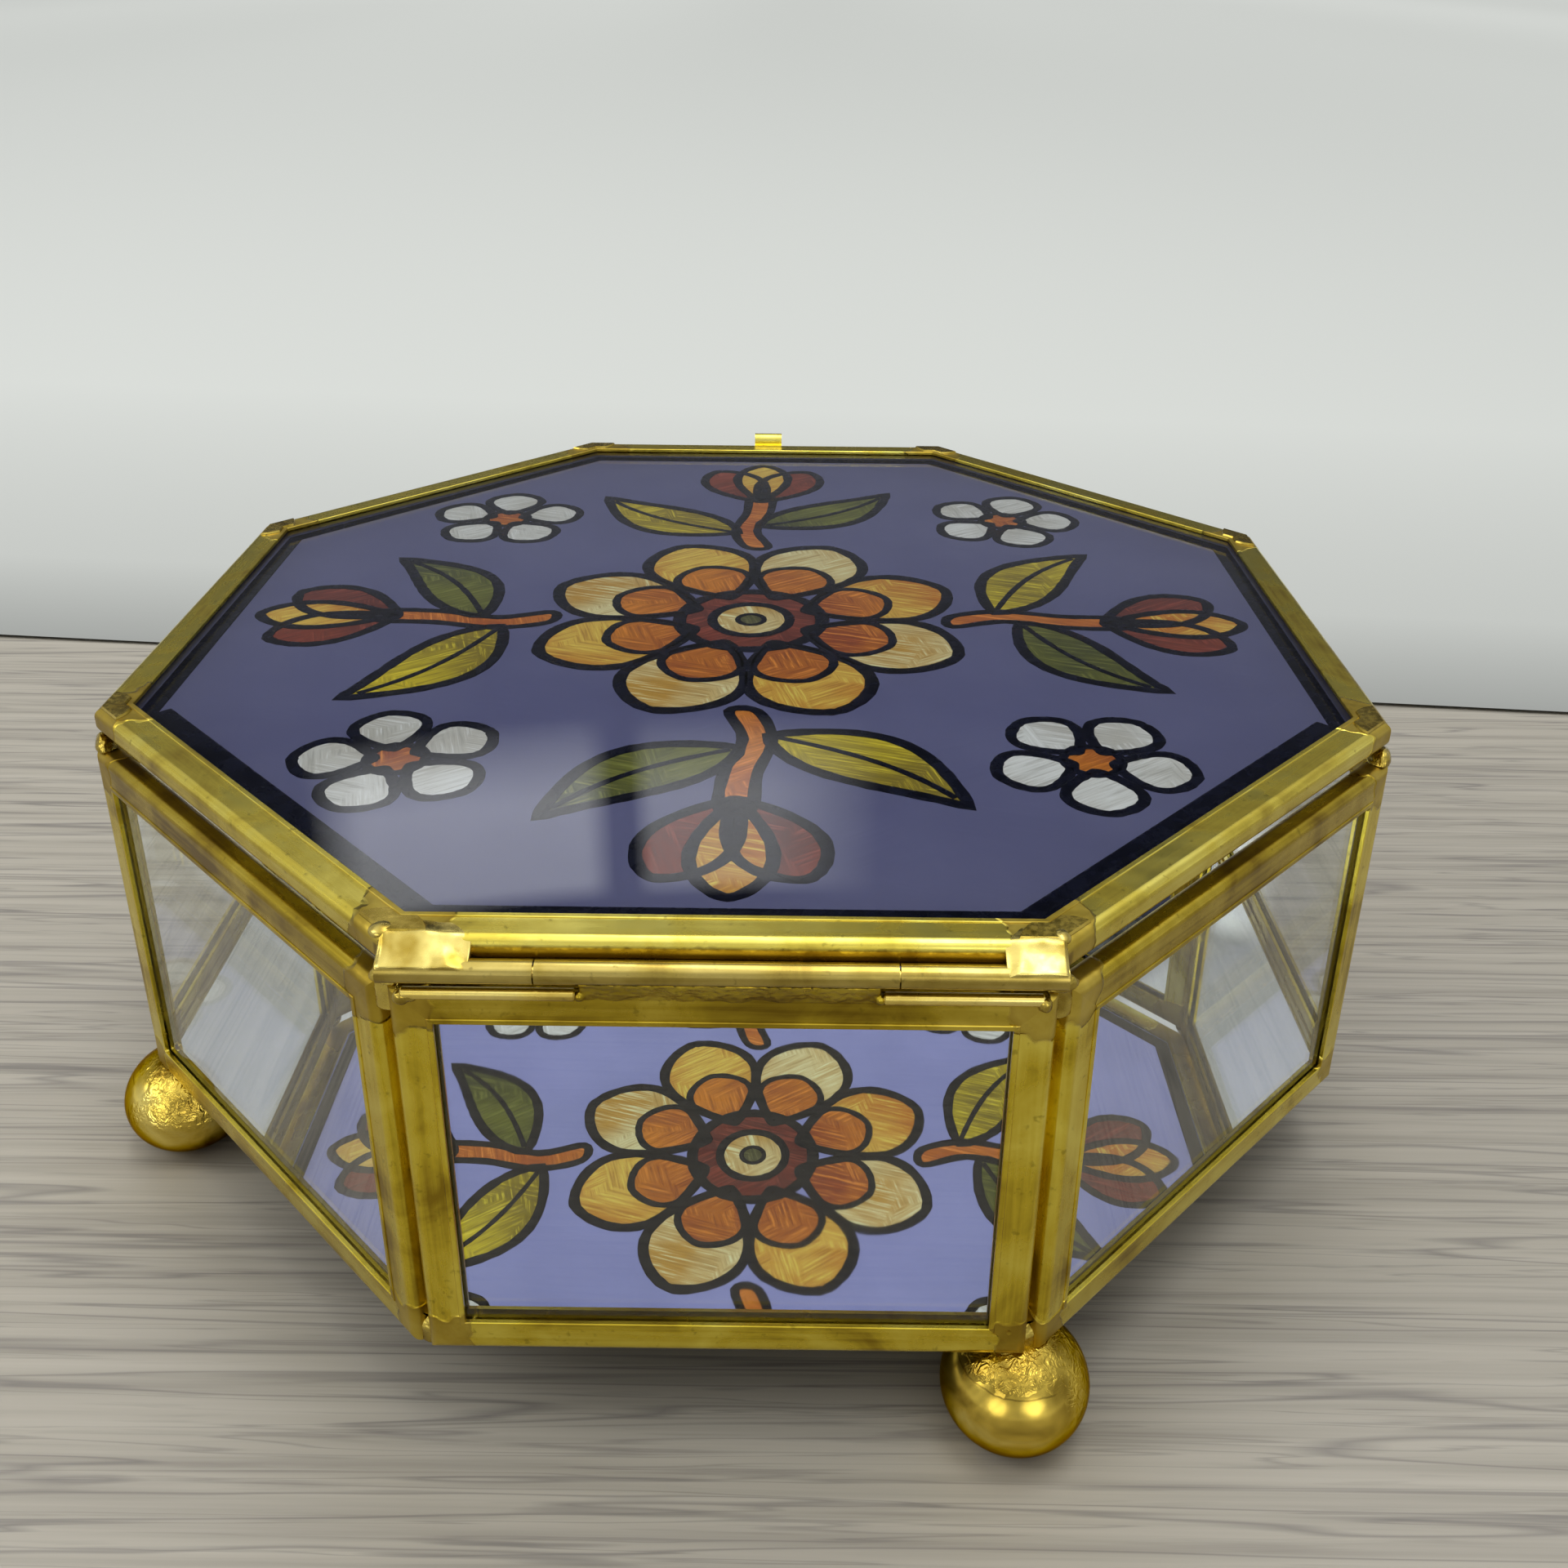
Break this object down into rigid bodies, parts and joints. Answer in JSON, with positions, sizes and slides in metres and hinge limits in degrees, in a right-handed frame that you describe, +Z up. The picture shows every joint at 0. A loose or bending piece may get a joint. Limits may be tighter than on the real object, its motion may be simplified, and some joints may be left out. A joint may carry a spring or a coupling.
{
  "type": "trinket box",
  "caption": "Low octagonal glass keepsake box in brass came, with a mirror floor, a hinged painted-glass lid and ball feet.",
  "frame": {"origin": "centre of the box at the level that its ball feet stand on", "axes": "+Z up, the lid's hinge along +X on the -Y side, the lift tab on the +Y side"},
  "size_m": [0.1618, 0.1618, 0.0652],
  "materials": {
    "came_brass": "aged, satin",
    "wire_brass": "aged, satin",
    "foot_brass": "polished, lightly wrinkled",
    "solder": "dull brown-gold, lumpy",
    "pane_glass": "clear, polished",
    "painted_glass": "clear glass painted beneath in translucent colours",
    "mirror": "silvered glass"
  },
  "bodies": {
    "body": {"side_glass_1": "pane_glass", "top_rail_1": "came_brass", "bottom_rail_1": "came_brass", "corner_stiles_1": "came_brass", "side_glass_2": "pane_glass", "top_rail_2": "came_brass", "bottom_rail_2": "came_brass", "corner_stiles_2": "came_brass", "side_glass_3": "pane_glass", "top_rail_3": "came_brass", "bottom_rail_3": "came_brass", "corner_stiles_3": "came_brass", "side_glass_4": "pane_glass", "top_rail_4": "came_brass", "bottom_rail_4": "came_brass", "corner_stiles_4": "came_brass", "side_glass_5": "pane_glass", "top_rail_5": "came_brass", "bottom_rail_5": "came_brass", "corner_stiles_5": "came_brass", "side_glass_6": "pane_glass", "top_rail_6": "came_brass", "bottom_rail_6": "came_brass", "corner_stiles_6": "came_brass", "side_glass_7": "pane_glass", "top_rail_7": "came_brass", "bottom_rail_7": "came_brass", "corner_stiles_7": "came_brass", "side_glass_8": "pane_glass", "top_rail_8": "came_brass", "bottom_rail_8": "came_brass", "corner_stiles_8": "came_brass", "base_mirror": "mirror", "middle_knuckle": "came_brass", "hinge_pin": "wire_brass", "left_rest_wire": "wire_brass", "right_rest_wire": "wire_brass", "rim_solder": "solder", "base_solder": "solder", "ball_foot_1": "foot_brass", "ball_foot_2": "foot_brass", "ball_foot_3": "foot_brass", "ball_foot_4": "foot_brass"},
    "lid": {"lid_rail_1": "came_brass", "lid_rail_2": "came_brass", "lid_rail_3": "came_brass", "lid_rail_4": "came_brass", "lid_rail_5": "came_brass", "lid_rail_6": "came_brass", "lid_rail_7": "came_brass", "lid_rail_8": "came_brass", "lid_glass": "painted_glass", "left_knuckle": "came_brass", "right_knuckle": "came_brass", "lift_tab": "came_brass", "lid_solder": "solder", "lid_hinge_solder": "solder"}
  },
  "joints": [
    {"name": "lid_hinge", "type": "hinge", "parent": "body", "child": "lid", "pos_m": [0, -0.0763, 0.06105], "axis": [1, 0, 0], "range_deg": [0, 180]}
  ]
}
